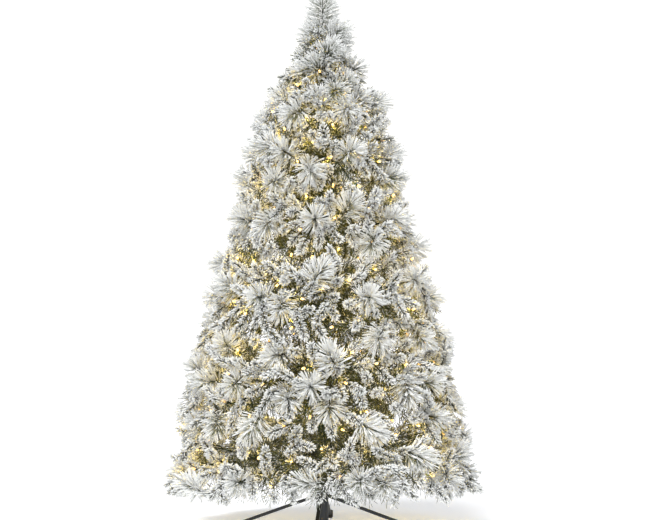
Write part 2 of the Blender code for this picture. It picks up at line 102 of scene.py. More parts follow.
# Tree surface
BOTTOM = 0.145  # lowest twig ends
BURST_BOTTOM = 0.175  # lowest ends of the wires with long needles
PAST_TIPS = (0.012, 0.004, -0.008, -0.012, 0.006, 0.034)  # foliage past each tier's stems
SKIRT = 0.028  # how much further it reaches at the bottom
SHOULDER_RISE = 0.085  # from the top plug to the leader's widest part
TOP_BRUSH = 0.15  # height of the brush that ends the leader
LEADER_RADII = (0.125, 0.080, 0.04)  # at its widest, at the brush's foot and at the tip
LEADER_TWIGS_RISE = 0.05  # from the top plug to the leader's lowest twig ends
DEPTH_ROOM = 0.018  # foliage stops this far inside the solids' depth, for the needles past it

# Twig ends
TIP_SEED = 11
OWNER_SEED = 5
SCATTER_TRIES = 26  # places tried, for a height and a spacing of one metre
BURST_SPACING = 0.145
SPRIG_SPACING = 0.039
BULB_SPACING = 0.086
STEM_CLEAR = 0.09  # bursts keep this far from the burst at a stem's end
BURST_CLEAR = 0.050  # sprig tips keep this far from a burst's middle
BULB_CLEAR = 0.056  # bulbs keep this far from a burst's middle
SPRIG_CLEAR = 0.031  # sprig tips keep this far from a bulb
BURST_INSET = 0.030  # a burst's wire ends this far inside the surface
BURST_INSET_SPREAD = (-0.015, 0.02)
SPRIG_INSET = 0.012
SPRIG_INSET_SPREAD = 0.048
SPRIG_INSET_POWER = 1.6  # over 1, so most sprigs end near the surface
BULB_INSET = 0.050
BULB_INSET_SPREAD = 0.035
LEADER_BURSTS = 0.3  # share of the leader's twigs that end in a burst
INTERLEAVE = 0.022  # how far neighbouring branches reach into each other's part
Layer = namedtuple("Layer", "share spacing flock")  # share of the surface's radius
INNER_LAYERS = (
    Layer(0.80, 0.053, 0.24),
    Layer(0.60, 0.056, 0.10),
    Layer(0.42, 0.055, 0.04),
    Layer(0.25, 0.047, 0.02),
    Layer(0.13, 0.045, 0.0),
)

# Flock, from 0 on a bare needle to 1 on a white one
BURST_FLOCK = (0.6, 0.95)
STEM_FLOCK = (0.6, 0.9)
SPRIG_FLOCK = (0.68, 1.0)
LEADER_SPRIG_FLOCK = (0.35, 0.70)
BULB_FLOCK = 0.3
# Less flock on the leader's own needles: partly painted shade that greys the top of the tree
LEADER_FLOCK_AND_SHADE = 0.50
INNER_FLOCK_SPREAD = (-0.1, 0.15)
BELOW_HEAD = 0.6  # share of a sprig's flock on the needles below its head
NEAR_FORK = 0.3  # share of a wire's flock on its lowest needles
FLOCK_UPWARD = 0.22  # more on needles that point up
FLOCK_SPREAD = 0.15

# Wires
BRANCH_SEED = 100  # of the first branch
LEADER_SEED = 77
BARE_WIRE = 0.034  # from the hinge to the first needles
BARE_OVERLAP = 0.004  # bare wire inside the wrapped stem
HINGE_WIRE_RADIUS = 0.0021
STEM_RADIUS = 0.0036
STEM_BARE = 0.01  # at the start of the wrapped stem
STEM_SHORT = 0.035  # a stem's wire ends this far before its solid does, for the needles past it
LEADER_SHORT = 0.043
LEADER_SOCKETED = 0.02
TWIG_RADIUS = 0.0015
WIRE_POINTS = 8
WIRE_TAPER = (1.15, 0.6)  # shares of the radius, at a wire's start and end
STEM_SIDES = 6
TWIG_SIDES = 4
HINGE_SIDES = 8
PIN_HALF = 0.00625
PIN_RADIUS = 0.0015
WIRE_HEEL = 0.0015

# Forks: a twig starts where its cost, its length and what follows, is least
FIRST_FORK = 0.02
FORK_PITCH = 0.012
LAST_FORK = 0.85  # share of a wire's length
LEAVING_AHEAD = 0.8  # how much a twig turns to its end as it leaves its fork
ARRIVING = (0.75, 0.45, 0.12)  # how much it ends straight ahead, outward and upward
ARRIVING_SPREAD = 0.12
TURN_COST = 1.6
SHARP_TURN = 0.75  # 1 less the cosine of a turn that is too sharp
SHARP_COST = 0.5
NEAREST_FORK = 0.05
SHORT_COST = 0.3  # of a twig shorter than the nearest fork

# Short needles
NEEDLE = 0.024
NEEDLE_THICKNESS = 0.0047
NEEDLE_LENGTHS = (0.78, 1.08)  # shares of the length above
NEEDLE_WIDTHS = (0.8, 1.25)
NEEDLE_SWEEP_SPOTS = (0, 0.008, 0.030)  # distances from the wire's end
NEEDLE_SWEEPS = (10, 42, 60)  # how far the needles there lean from the wire, in degrees
NEEDLE_SWEEP_SPREAD = 7
NEEDLE_TURN_SPREAD = 0.25
NEEDLE_DROOP = 0.08  # of a needle's tip, as a share of its length
NEEDLE_BEND_SPREAD = 0.04
FLOCK_WIDTH = 0.5  # share of the thickness that a needle's flock adds
NEEDLE_WAISTS = ((0.84, 1),)  # share of the length, share of the thickness
INNER_NEEDLE = 0.040  # deep in the tree, where the wires are further apart
INNER_THICKNESS = 0.0036
SPRIG_HEAD = 0.065  # dense, well flocked end of a sprig
SPRIG_COVER = 0.13
INNER_COVER = 0.14
MOST_COVER = 0.96  # share of a short wire's length that its sprig covers
MOST_HEAD = 0.9  # share of a short sprig that is its head
BULB_BARE = 0.012  # wire without needles next to a bulb
HEAD_DENSITY = 1500  # needles per metre of wire
SPRIG_DENSITY = 700
INNER_DENSITY = 520
STEM_DENSITY = 420
MAP_WIDTH = 0.02  # of a needle on its map
SPIN_STEP = 97.0  # spreads the needles' corners round their axes

# Long needles
LONG_NEEDLE = 0.062
LONG_THICKNESS = 0.0033
LONG_LENGTHS = (0.80, 1.04)
LONG_WIDTHS = (0.8, 1.2)
LONG_WAISTS = ((0.32, 0.40), (0.92, 1.0))
BURST_WIRE = 0.052  # length of wire that carries a burst
BURST_TUFTS = 74
LONG_SWEEP_SPOTS = (0, 0.012, 0.050)
LONG_SWEEP_SPREAD = 5
LONG_TURN_SPREAD = 0.2
LONG_DROOP = 0.05
LONG_CURL = 0.05  # of a needle's tip towards the wire's end
LONG_BEND_SPREAD = 0.03
LONG_FLOCK_WIDTH = 0.55
BURST_SWEEPS = (12, 48, 82)
LEADER_TUFTS = 260
LEADER_SWEEPS = (28, 60, 76)
LEADER_NEEDLE = 0.068
TUFT_NEEDLES = 3
TUFT_SPREAD = 0.055

# Bulbs: (distance, radius) pairs along the axis
HOLDER = ((0, 0.0018), (0.001, 0.0030), (0.010, 0.0038), (0.012, 0.0038), (0.0125, 0.0030))
LENS = ((0.0120, 0.0028), (0.0132, 0.0037), (0.0205, 0.0037), (0.0232, 0.0027), (0.0244, 0.0010))
BULB_SIDES = 8
BULB_BACK = 0.010  # from the twig's end to the foot of the holder
BULB_OFFSET = 0.005
BULB_LEAN = 0.18  # spread of its aim round the twig's heading
BULB_POWER = 0.135
BULB_SOFTNESS = 0.0004  # square of the distance within which its glow is evened out
GLOW_COLOUR = (1.0, 0.68, 0.09)
GLOW_RADIUS = 0.003
GLOW_BACK = 0.004  # from the holder's foot back to the lamp

# Light cable
CABLE_RADIUS = 0.0009
CABLE_LIFT = 0.6  # cable's axis off the wire's surface, in cable radii
CABLE_TURNS = 14  # turns of the cable round a metre of wire
CABLE_POINTS = 14
CABLE_SHORT = 0.008  # it ends this far before the wire does

# Studio
FLOOR_HALF = 40.0
FLOOR_GLOW = 0.42  # the floor is lit from below, so shadows on it stay faint
AMBIENT = 0.25
BACKDROP = 1.2
SUN_COLOUR = (0.98, 0.985, 1.035)
Sun = namedtuple("Sun", "name azimuth elevation softness strength")
SUNS = (
    Sun("key", -24, 54, 26, 3.7),
    Sun("fill", 36, 22, 40, 1.1),
    Sun("top", 0, 86, 50, 0.5),
)
CAMERA_DISTANCE = 6.0
CAMERA_HEIGHT = 0.85
CAMERA_TURN = math.radians(5)
VIEW_WIDTH = 2.158  # metres across the picture at the trunk
VIEW_SHIFT = (0.0038, 0.0213)


# Shaders


class Signal:
    """An output of a shader node. Sums and products on it add Math nodes."""

    def __init__(self, nodes, socket):
        self.nodes = nodes
        self.socket = socket

    def maths(self, operation, first, second):
        return self.nodes.node("ShaderNodeMath", {"operation": operation}, {0: first, 1: second})

    def __add__(self, other):
        return self.maths("ADD", self, other)

    def __radd__(self, other):
        return self.maths("ADD", other, self)

    def __sub__(self, other):
        return self.maths("SUBTRACT", self, other)

    def __rsub__(self, other):
        return self.maths("SUBTRACT", other, self)

    def __mul__(self, other):
        return self.maths("MULTIPLY", self, other)

    def __rmul__(self, other):
        return self.maths("MULTIPLY", other, self)


class Nodes:
    """A tree of nodes and the one way to add to it."""

    def __init__(self, tree):
        self.tree = tree

    def node(self, kind, settings=None, inputs=None, output=0):
        made = self.tree.nodes.new(kind)
        for key, value in (settings or {}).items():
            setattr(made, key, value)
        for key, value in (inputs or {}).items():
            self.feed(made.inputs[key], value)
        return Signal(self, made.outputs[output])

    def feed(self, socket, value):
        if isinstance(value, Signal):
            self.tree.links.new(value.socket, socket)
        else:
            socket.default_value = value


class Finish(Nodes):
    """A material and the nodes that make it."""

    def __init__(self, name, **constants):
        self.material = bpy.data.materials.new(name)
        self.material.use_nodes = True
        super().__init__(self.material.node_tree)
        self.shader = self.tree.nodes["Principled BSDF"]
        self.surface(**constants)

    def surface(self, **inputs):
        for key, value in inputs.items():
            self.feed(self.shader.inputs[key.replace("_", " ")], value)
        return self.material

    def mix(self, share, first, second):
        """Two colours mixed, on the sockets that a Mix node has for colours."""
        colours = {0: share, 6: first, 7: second}
        return self.node("ShaderNodeMix", {"data_type": "RGBA"}, colours, output=2)

    def step(self, value, low, high):
        """0 below low, 1 above high, smooth between."""
        ends = {"Value": value, "From Min": low, "From Max": high}
        return self.node("ShaderNodeMapRange", {"interpolation_type": "SMOOTHSTEP"}, ends)

    def object_place(self):
        return self.node("ShaderNodeTexCoord", output="Object")

    def noise(self, scale, detail=3.0):
        inputs = {"Vector": self.object_place(), "Scale": scale, "Detail": detail}
        return self.node("ShaderNodeTexNoise", None, inputs)

    def map_axes(self):
        """The two coordinates of the piece's own map."""
        place = self.node("ShaderNodeUVMap", {"uv_map": PIECE_MAP})
        split = self.node("ShaderNodeSeparateXYZ", None, {0: place})
        return split, Signal(self, split.socket.node.outputs[1])

    def bump(self, height, strength, distance):
        inputs = {"Height": height, "Strength": strength, "Distance": distance}
        return self.node("ShaderNodeBump", None, inputs)


def grey(value):
    return (value, value, value, 1)


def rgb(red, green, blue):
    return (red, green, blue, 1)


def needle_finish(name, root, tip, bare):
    """Green needles, white with flock from the tip down: U runs along them and V is their flock.

    The flock starts this far up a bare needle, and lower on a needle with more of it.
    """
    finish = Finish(name, Specular_IOR_Level=0.25, Sheen_Weight=0.15)
    along, flock = finish.map_axes()
    grain = finish.noise(700, 4)
    patch = finish.noise(60, 2)
    edge = bare - flock + 0.5 * (grain - 0.5)
    white = finish.step(along, edge, edge + 0.2)
    green = finish.mix(along, root, tip)
    snow = finish.mix(patch, rgb(0.65, 0.67, 0.63), rgb(0.88, 0.88, 0.86))
    colour = finish.mix(white, green, snow)
    normal = finish.bump(grain * white, 0.6, 0.0008)
    return finish.surface(Base_Color=colour, Roughness=0.5 + 0.45 * white, Normal=normal)


def wrap_finish():
    """Wire wound with dark green strip."""
    finish = Finish("wrapped_wire", Specular_IOR_Level=0.3)
    turns = {"Vector": finish.object_place(), "Scale": 180.0}
    strand = finish.node("ShaderNodeTexWave", None, turns)
    mottle = finish.noise(240)
    colour = finish.mix(mottle, rgb(0.018, 0.030, 0.014), rgb(0.050, 0.052, 0.028))
    normal = finish.bump(strand, 0.5, 0.0006)
    return finish.surface(Base_Color=colour, Roughness=0.6 + 0.2 * mottle, Normal=normal)


def hinge_wire_finish():
    finish = Finish("hinge_wire_steel", Metallic=0.9)
    wear = finish.noise(300)
    colour = finish.mix(wear, rgb(0.10, 0.12, 0.10), rgb(0.22, 0.23, 0.22))
    return finish.surface(Base_Color=colour, Roughness=0.35 + 0.25 * wear)


def cable_finish():
    finish = Finish("light_cable_plastic", Specular_IOR_Level=0.4)
    tone = finish.noise(400)
    colour = finish.mix(tone, rgb(0.012, 0.040, 0.020), rgb(0.025, 0.065, 0.032))
    return finish.surface(Base_Color=colour, Roughness=0.4 + 0.15 * tone)


def bulb_finish():
    """Lit warm white lens, brightest at its tip."""
    finish = Finish("led_lens", Roughness=0.2, Emission_Strength=2.4)
    along, _ = finish.map_axes()
    colour = finish.mix(along, rgb(1.0, 0.40, 0.03), rgb(1.0, 0.90, 0.48))
    finish.material.cycles.emission_sampling = "NONE"
    return finish.surface(Base_Color=rgb(0.8, 0.5, 0.15), Emission_Color=colour)


def painted_steel_finish(name, dark, light, metallic, peel_scale):
    """Powder coat over steel: fine orange peel and slight patches."""
    finish = Finish(name, Metallic=metallic)
    peel = finish.noise(peel_scale, 2)
    patch = finish.noise(14, 3)
    colour = finish.mix(patch, dark, light)
    normal = finish.bump(peel, 0.25, 0.0003)
    return finish.surface(Base_Color=colour, Roughness=0.38 + 0.2 * patch, Normal=normal)


def moulded_finish(name, dark, light, roughness):
    """Moulded plastic or rubber with a fine spark-eroded grain."""
    finish = Finish(name)
    grain = finish.noise(1500, 2)
    tone = finish.noise(30, 3)
    colour = finish.mix(tone, dark, light)
    normal = finish.bump(grain, 0.3, 0.0002)
    return finish.surface(Base_Color=colour, Roughness=roughness + 0.1 * tone, Normal=normal)


def zinc_finish():
    finish = Finish("zinc_plate", Metallic=1.0)
    spangle = finish.noise(220, 4)
    colour = finish.mix(spangle, rgb(0.42, 0.43, 0.45), rgb(0.66, 0.66, 0.66))
    return finish.surface(Base_Color=colour, Roughness=0.25 + 0.3 * spangle)


# Meshes


class Shape:
    """Triangles of many small forms, gathered into one mesh."""

    def __init__(self):
        self.points = []
        self.triangles = []
        self.corners = []
        self.looks = []
        self.total = 0

    def add(self, points, triangles, corners, look=0):
        self.points.append(points)
        self.triangles.append(triangles + self.total)
        self.corners.append(corners)
        self.looks.append(np.full(len(triangles), look))
        self.total += len(points)

    def piece(self, name, finishes):
        points = np.concatenate(self.points)
        triangles = np.concatenate(self.triangles)
        mesh = bpy.data.meshes.new(name)
        mesh.vertices.add(len(points))
        mesh.vertices.foreach_set("co", points.astype(np.float32).ravel())
        mesh.loops.add(triangles.size)
        mesh.loops.foreach_set("vertex_index", triangles.astype(np.int32).ravel())
        mesh.polygons.add(len(triangles))
        mesh.polygons.foreach_set("loop_start", np.arange(0, triangles.size, 3, dtype=np.int32))
        mesh.polygons.foreach_set("material_index", np.concatenate(self.looks).astype(np.int32))
        layer = mesh.uv_layers.new(name=PIECE_MAP)
        layer.data.foreach_set("uv", np.concatenate(self.corners).astype(np.float32).ravel())
        mesh.update(calc_edges=True)
        mesh.shade_smooth()
        for finish in finishes:
            mesh.materials.append(finish)
        obj = bpy.data.objects.new(name, mesh)
        bpy.context.scene.collection.objects.link(obj)
        return obj


def unit(vectors):
    return vectors / np.linalg.norm(vectors, axis=-1, keepdims=True)


def across(headings):
    """Two directions square to each heading."""
    level = np.cross(headings, UP)
    steep = np.linalg.norm(level, axis=-1) < 0.05
    level[steep] = np.cross(headings[steep], np.array([1.0, 0.0, 0.0]))
    side = unit(level)
    return side, np.cross(side, headings)


def bent_path(start, leaving, end, arriving, count=WIRE_POINTS):
    """A smooth wire between two points, with a direction at each."""
    t = np.linspace(0, 1, count)[:, None]
    reach = np.linalg.norm(end - start)
    ends = (2 * t**3 - 3 * t**2 + 1) * start + (3 * t**2 - 2 * t**3) * end
    return ends + (t**3 - 2 * t**2 + t) * reach * leaving + (t**3 - t**2) * reach * arriving


def run_of(path):
    """Distance along a path at each of its points."""
    steps = np.linalg.norm(np.diff(path, axis=0), axis=1)
    return np.concatenate([[0], np.cumsum(steps)])


def along_path(path, distances):
    """Places and headings at these distances along a path."""
    run = run_of(path)
    slopes = np.gradient(path, run, axis=0)
    places = np.column_stack([np.interp(distances, run, path[:, i]) for i in range(3)])
    headings = np.column_stack([np.interp(distances, run, slopes[:, i]) for i in range(3)])
    return places, unit(headings)


def tube(path, radii, sides):
    """A closed round tube along a path; radii holds one radius per point."""
    run = run_of(path)
    headings = unit(np.gradient(path, run, axis=0))
    side, rise = across(headings)
    angles = math.tau * np.arange(sides) / sides
    ring = np.cos(angles)[None, :, None] * side[:, None] + np.sin(angles)[None, :, None] * rise[:, None]
    points = (path[:, None] + ring * np.asarray(radii)[:, None, None]).reshape(-1, 3)
    i, k = np.meshgrid(np.arange(len(path) - 1), np.arange(sides), indexing="ij")
    i, k = i.ravel(), k.ravel()
    a, b = i * sides + k, i * sides + (k + 1) % sides
    c, d = b + sides, a + sides
    low, high = run[i] / run[-1], run[i + 1] / run[-1]
    left, right = k / sides, (k + 1) / sides
    quads = np.stack([a, b, c, d], axis=1)
    maps = np.stack([low, left, low, right, high, right, high, left], axis=1).reshape(-1, 4, 2)
    triangles = np.concatenate([quads[:, [0, 1, 2]], quads[:, [0, 2, 3]]])
    corners = np.concatenate([maps[:, [0, 1, 2]], maps[:, [0, 2, 3]]])
    fan = np.array([[0, j + 1, j] for j in range(1, sides - 1)])
    last = (len(path) - 1) * sides
    triangles = np.concatenate([triangles, fan, fan[:, ::-1] + last])
    corners = np.concatenate([corners, np.tile(CAP_MAP, (2 * len(fan), 1, 1))])
    return points, triangles, corners


def spindles(bases, ends, bends, waists, thicknesses, flock):
    """Closed needles with three sides: a point at each end and a ring at each waist.

    waists holds (share of the length, share of the thickness) pairs; bends is how far each end is
    carried aside; flock is each needle's place on the map's second axis.
    """
    count, rings = len(bases), len(waists)
    headings = unit(ends - bases)
    side, rise = across(headings)
    spin = flock * SPIN_STEP
    first = np.cos(spin)[:, None] * side + np.sin(spin)[:, None] * rise
    second = np.cross(headings, first)
    points = [bases[:, None]]
    for share, width in waists:
        centre = bases + share * (ends - bases) + share**2 * bends
        radius = (thicknesses * width / 2)[:, None]
        ring = [centre + radius * (math.cos(a) * first + math.sin(a) * second) for a in THIRDS]
        points.append(np.stack(ring, axis=1))
    points.append((ends + bends)[:, None])
    points = np.concatenate(points, axis=1)
    faces = spindle_faces(rings)
    shares = np.array([0.01] + [share for share, _ in waists for _ in range(3)] + [0.99])
    offsets = np.array([0.5] + [0.0, 0.5, 1.0] * rings + [0.5]) * MAP_WIDTH
    bands = np.clip(flock, 0.0, 0.999 - MAP_WIDTH)
    shifts = np.arange(count)[:, None, None] * points.shape[1]
    triangles = (faces[None] + shifts).reshape(-1, 3)
    u = np.broadcast_to(shares[faces], (count, *faces.shape))
    v = bands[:, None, None] + offsets[faces][None]
    corners = np.stack([u, v], axis=-1).reshape(-1, 3, 2)
    return points.reshape(-1, 3), triangles, corners


def spindle_faces(rings):
    """The triangles of one needle, from its base over its rings to its tip."""
    faces = [(0, 1 + (k + 1) % 3, 1 + k) for k in range(3)]
    for ring in range(rings - 1):
        low, high = 1 + 3 * ring, 4 + 3 * ring
        for k in range(3):
            n = (k + 1) % 3
            faces += [(low + k, low + n, high + n), (low + k, high + n, high + k)]
    tip = 3 * rings + 1
    faces += [(tip - 3 + k, tip - 3 + (k + 1) % 3, tip) for k in range(3)]
    return np.array(faces)


# Needles

Wire = namedtuple("Wire", "path kind flock radius parent")


def flock_on(directions, amount, rng):
    """More flock on needles that point up, less on those that point down."""
    spread = rng.normal(0, FLOCK_SPREAD, len(directions))
    return np.clip(amount + FLOCK_UPWARD * directions[:, 2] + spread, 0.0, 1.0)


def turned_round(turn, headings):
    """A direction square to each heading, turned round it."""
    side, rise = across(headings)
    return np.cos(turn)[:, None] * side + np.sin(turn)[:, None] * rise


def leaning(sweep, headings, round_wire):
    """Directions that lean away from the headings by the sweep."""
    return np.cos(sweep)[:, None] * headings + np.sin(sweep)[:, None] * round_wire


def short_needles(shape, wire, start, stop, density, rng, size=NEEDLE, thick=NEEDLE_THICKNESS):
    """Needles all round a stretch of wire, swept forward near its tip."""
    count = int(density * (stop - start))
    if count < 3:
        return
    length = run_of(wire.path)[-1]
    spots = start + (stop - start) * (np.arange(count) + rng.random(count)) / count
    places, headings = along_path(wire.path, spots)
    left = length - spots
    leans = np.interp(left, NEEDLE_SWEEP_SPOTS, NEEDLE_SWEEPS)
    sweep = np.radians(leans + rng.normal(0, NEEDLE_SWEEP_SPREAD, count))
    turn = np.arange(count) * GOLDEN_ANGLE + rng.normal(0, NEEDLE_TURN_SPREAD, count)
    directions = leaning(sweep, headings, turned_round(turn, headings))
    lengths = size * rng.uniform(*NEEDLE_LENGTHS, count)
    flock = flock_on(directions, wire.flock, rng)
    thickness = thick * (0.5 + FLOCK_WIDTH * flock) * rng.uniform(*NEEDLE_WIDTHS, count)
    bends = -NEEDLE_DROOP * size * UP + rng.normal(0, NEEDLE_BEND_SPREAD * size, (count, 3))
    ends = places + directions * lengths[:, None]
    shape.add(*spindles(places, ends, bends, NEEDLE_WAISTS, thickness, flock))


def long_needles(shape, wire, reach, tufts, rng, sweeps=BURST_SWEEPS, size=LONG_NEEDLE):
    """Tufts of long needles round the last stretch of a wire, opening like a flower."""
    length = run_of(wire.path)[-1]
    reach = min(reach, 0.9 * length)
    left = reach * (np.arange(tufts) + 0.5) / tufts
    places, headings = along_path(wire.path, length - left)
    leans = np.interp(left, LONG_SWEEP_SPOTS, sweeps)
    sweep = np.radians(leans + rng.normal(0, LONG_SWEEP_SPREAD, tufts))
    turn = np.arange(tufts) * GOLDEN_ANGLE + rng.normal(0, LONG_TURN_SPREAD, tufts)
    tuft = leaning(sweep, headings, turned_round(turn, headings))
    places = np.repeat(places, TUFT_NEEDLES, axis=0)
    headings = np.repeat(headings, TUFT_NEEDLES, axis=0)
    count = tufts * TUFT_NEEDLES
    spread = rng.normal(0, TUFT_SPREAD, (count, 3))
    directions = unit(np.repeat(tuft, TUFT_NEEDLES, axis=0) + spread)
    lengths = size * rng.uniform(*LONG_LENGTHS, count)
    flock = flock_on(directions, wire.flock, rng)
    widths = rng.uniform(*LONG_WIDTHS, count)
    thickness = LONG_THICKNESS * (0.5 + LONG_FLOCK_WIDTH * flock) * widths
    bent = rng.normal(0, LONG_BEND_SPREAD, (count, 3))
    bends = size * (LONG_CURL * headings - LONG_DROOP * UP + bent)
    ends = places + directions * lengths[:, None]
    shape.add(*spindles(places, ends, bends, LONG_WAISTS, thickness, flock))


# Branches of the frame

# The solid and the body of a branch, its joint and tier, the hinge's place and axis, and the stem
Branch = namedtuple("Branch", "name body joint tier hinge pin heading length")


def read_branches():
    """Where the frame holds each branch: hinge, pin axis, stem heading and stem length."""
    found = []
    for joint in frame["joints"]:
        body = joint["child"]
        if not body.startswith("branch_"):
            continue
        hinge = np.array(joint["pos_m"])
        pin = np.array(joint["axis"], float)
        outward = np.cross(UP, pin)
        slope = FOLDED_SLOPE - math.radians(joint["range_deg"][1])
        heading = math.cos(slope) * outward + math.sin(slope) * UP
        solid = np.array([v.co for v in frame["nodes"][body].data.vertices])
        length = ((solid - hinge) @ heading).max()
        tier = int(body.split("_")[1]) - 1
        found.append(Branch(body, body, joint["name"], tier, hinge, pin, heading, length))
    return found


def stem_tip(branch):
    return branch.hinge + branch.heading * branch.length


def tier_tips():
    """The stem tip of one branch of each tier."""
    firsts = {}
    for branch in branches:
        firsts.setdefault(branch.tier, branch)
    return np.array([stem_tip(firsts[tier]) for tier in sorted(firsts)])


branches = read_branches()
leader_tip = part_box("leader")[1].z
plug_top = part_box("top_plug")[1].z
tips_by_tier = tier_tips()
tier_count = len(tips_by_tier)
deepest = cad_box[1].y - DEPTH_ROOM

# The tree's surface: heights, a radius at each, and the height where each tier's part ends
tip_heights = tips_by_tier[:, 2]
tip_radii = np.array([math.hypot(*tip[:2]) for tip in tips_by_tier])
foliage_radii = tip_radii + np.array(PAST_TIPS)
surface_radii = np.array([foliage_radii[0] + SKIRT, *foliage_radii, *LEADER_RADII])
leader_heights = (plug_top + SHOULDER_RISE, leader_tip - TOP_BRUSH, leader_tip)
surface_heights = np.array([BOTTOM, *tip_heights, *leader_heights])
zone_tops = np.append((tip_heights[1:] + tip_heights[:-1]) / 2, plug_top + LEADER_TWIGS_RISE)


# Twig ends

Tip = namedtuple("Tip", "place kind flock")


def surface_radius(height):
    return np.interp(height, surface_heights, surface_radii)


def surface_place(azimuth, height):
    radius = surface_radius(height)
    return np.stack([radius * np.cos(azimuth), radius * np.sin(azimuth), height], axis=-1)


def scatter(rng, share, spacing, kept_clear, clear, low, high):
    """Places over a shell inside the tree's surface, no nearer to each other than the spacing."""
    tries = int(SCATTER_TRIES * (high - low) / spacing**2)
    heights = rng.uniform(low, high, tries)
    wanted = surface_radius(heights) > rng.uniform(0, surface_radii.max(), tries)
    heights = heights[wanted]
    azimuths = rng.uniform(0, math.tau, len(heights))
    places = surface_place(azimuths, heights) * np.array([share, share, 1])
    places[:, 1] = np.clip(places[:, 1], -deepest, deepest)
    taken = np.empty((0, 3))
    for place in places:
        if len(kept_clear) and np.linalg.norm(kept_clear - place, axis=1).min() < clear:
            continue
        if len(taken) and np.linalg.norm(taken - place, axis=1).min() < spacing:
            continue
        taken = np.append(taken, [place], axis=0)
    return taken


def inward(place, distance):
    """A place moved towards the trunk."""
    radius = math.hypot(place[0], place[1])
    share = max(radius - distance, 0.01) / radius
    return place * np.array([share, share, 1])


def make_tips():
    """Every twig end of the tree: bulbs, bursts, sprigs between them, then the inner layers."""
    rng = np.random.default_rng(TIP_SEED)
    top = leader_tip - TOP_BRUSH
    stems = np.array([stem_tip(branch) for branch in branches])
    bursts = scatter(rng, 1.0, BURST_SPACING, stems, STEM_CLEAR, BURST_BOTTOM, top)
    taken = np.concatenate([bursts, stems])
    bulbs = scatter(rng, 1.0, BULB_SPACING, taken, BULB_CLEAR, BURST_BOTTOM, top)
    sprigs = scatter(rng, 1.0, SPRIG_SPACING, taken, BURST_CLEAR, BOTTOM, top)
    tips = []
    for place in bulbs:
        inset = BULB_INSET + BULB_INSET_SPREAD * rng.random()
        tips.append(Tip(inward(place, inset), "bulb", BULB_FLOCK))
    for place in bursts:
        inset = BURST_INSET + rng.uniform(*BURST_INSET_SPREAD)
        tips.append(Tip(inward(place, inset), "burst", rng.uniform(*BURST_FLOCK)))
    for place in sprigs:
        if np.linalg.norm(bulbs - place, axis=1).min() <= SPRIG_CLEAR:
            continue
        inset = SPRIG_INSET + SPRIG_INSET_SPREAD * rng.random() ** SPRIG_INSET_POWER
        if place[2] > plug_top:
            kind = "burst" if rng.random() < LEADER_BURSTS else "sprig"
            flock = rng.uniform(*LEADER_SPRIG_FLOCK)
        else:
            kind = "sprig"
            flock = rng.uniform(*SPRIG_FLOCK)
        tips.append(Tip(inward(place, inset), kind, flock))
    for layer in INNER_LAYERS:
        for place in scatter(rng, layer.share, layer.spacing, (), 0, BOTTOM, top):
            tips.append(Tip(place, "inner", layer.flock + rng.uniform(*INNER_FLOCK_SPREAD)))
    return tips


def owner_of(place, rng):
    """The branch whose part of the tree holds this place, or None for the leader; the parts interleave."""
    tier = int(np.searchsorted(zone_tops, place[2] + rng.normal(0, INTERLEAVE)))
    if tier >= tier_count:
        return None
    flat = unit(place[:2] + rng.normal(0, INTERLEAVE, 2))
    mates = [branch for branch in branches if branch.tier == tier]
    return max(mates, key=lambda branch: float(unit(branch.heading[:2]) @ flat)).name


def tips_by_owner():
    """The twig ends of each branch, by its name, and of the leader, under None."""
    rng = np.random.default_rng(OWNER_SEED)
    owned = {}
    for tip in make_tips():
        owned.setdefault(owner_of(tip.place, rng), []).append(tip)
    return owned


# Growth of a branch


def fork_spots(path):
    """Places on a wire where a twig may start, and the wire's headings there."""
    length = run_of(path)[-1]
    spots = np.arange(FIRST_FORK, max(LAST_FORK * length, 1.5 * FIRST_FORK), FORK_PITCH)
    return along_path(path, spots)


def grow(stem, tips, rng):
    """Wires from the stem to every tip, each forking from the nearest wire that runs its way."""
    wires = [stem]
    forks = [fork_spots(stem.path)]
    root = stem.path[0]
    for tip in sorted(tips, key=lambda t: float(np.linalg.norm(t.place - root))):
        spots = np.concatenate([f[0] for f in forks])
        headings = np.concatenate([f[1] for f in forks])
        gaps = tip.place - spots
        distances = np.linalg.norm(gaps, axis=1)
        turn = 1 - np.einsum("ij,ij->i", unit(gaps), headings)
        sharp = np.where(turn > SHARP_TURN, SHARP_COST, 0)
        short = np.where(distances < NEAREST_FORK, SHORT_COST, 0)
        best = int(np.argmin(distances * (1 + TURN_COST * turn) + sharp + short))
        parent = int(np.searchsorted(np.cumsum([len(f[0]) for f in forks]), best, side="right"))
        ahead = unit(gaps[best])
        flat = unit(np.array([tip.place[0], tip.place[1], 0.0]) + NO_LENGTH)
        straight, outward, upward = ARRIVING
        spread = rng.normal(0, ARRIVING_SPREAD, 3)
        arriving = unit(straight * ahead + outward * flat + upward * UP + spread)
        leaving = unit(headings[best] + LEAVING_AHEAD * ahead)
        path = bent_path(spots[best], leaving, tip.place, arriving)
        wires.append(Wire(path, tip.kind, tip.flock, TWIG_RADIUS, parent))
        forks.append(fork_spots(path))
    return wires


